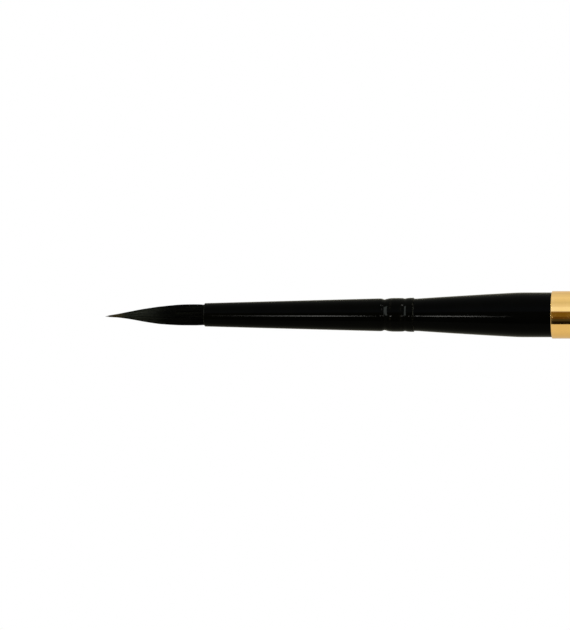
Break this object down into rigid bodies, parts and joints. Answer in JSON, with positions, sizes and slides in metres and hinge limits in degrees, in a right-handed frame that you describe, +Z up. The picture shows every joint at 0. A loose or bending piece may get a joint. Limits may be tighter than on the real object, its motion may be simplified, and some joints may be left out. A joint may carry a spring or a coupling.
{
  "type": "fine detail brush",
  "caption": "Slim round detail brush: needle-pointed black hair in a tapered crimped ferrule, on a black plug with a gold collar, pushed into a hollow black barrel.",
  "frame": {"origin": "on the surface the brush lies on, under the middle of its length and its axis", "axes": "+X along the brush from the hair to the tail, +Z up"},
  "size_m": [0.1686, 0.008, 0.008],
  "materials": {
    "hair": "black synthetic filaments, faint tan at the point",
    "thread": "wound thread",
    "resin": "amber resin",
    "black_lacquered_metal": "glossy black lacquer on drawn brass",
    "black_gloss_plastic": "turned and polished black plastic",
    "gold_plated_brass": "polished gold plate"
  },
  "bodies": {
    "barrel": {"barrel_tube": "black_lacquered_metal", "tail_cap": "gold_plated_brass"},
    "head": {"section_plug": "black_gloss_plastic", "stop_collar": "gold_plated_brass", "ferrule": "black_lacquered_metal", "resin_plug": "resin", "root_binding": "thread", "tuft_root": "hair"},
    "tuft": {"tuft_point": "hair"}
  },
  "joints": [
    {"name": "head_pull", "type": "slide", "parent": "barrel", "child": "head", "axis": [-1, 0, 0], "range_m": [0, 0.03]},
    {"name": "tuft_flex", "type": "hinge", "parent": "head", "child": "tuft", "pos_m": [-0.07095, 0, 0.004], "axis": [0, 0, 1], "range_deg": [-40, 40], "stiffness_Nm_per_rad": 0.002}
  ]
}
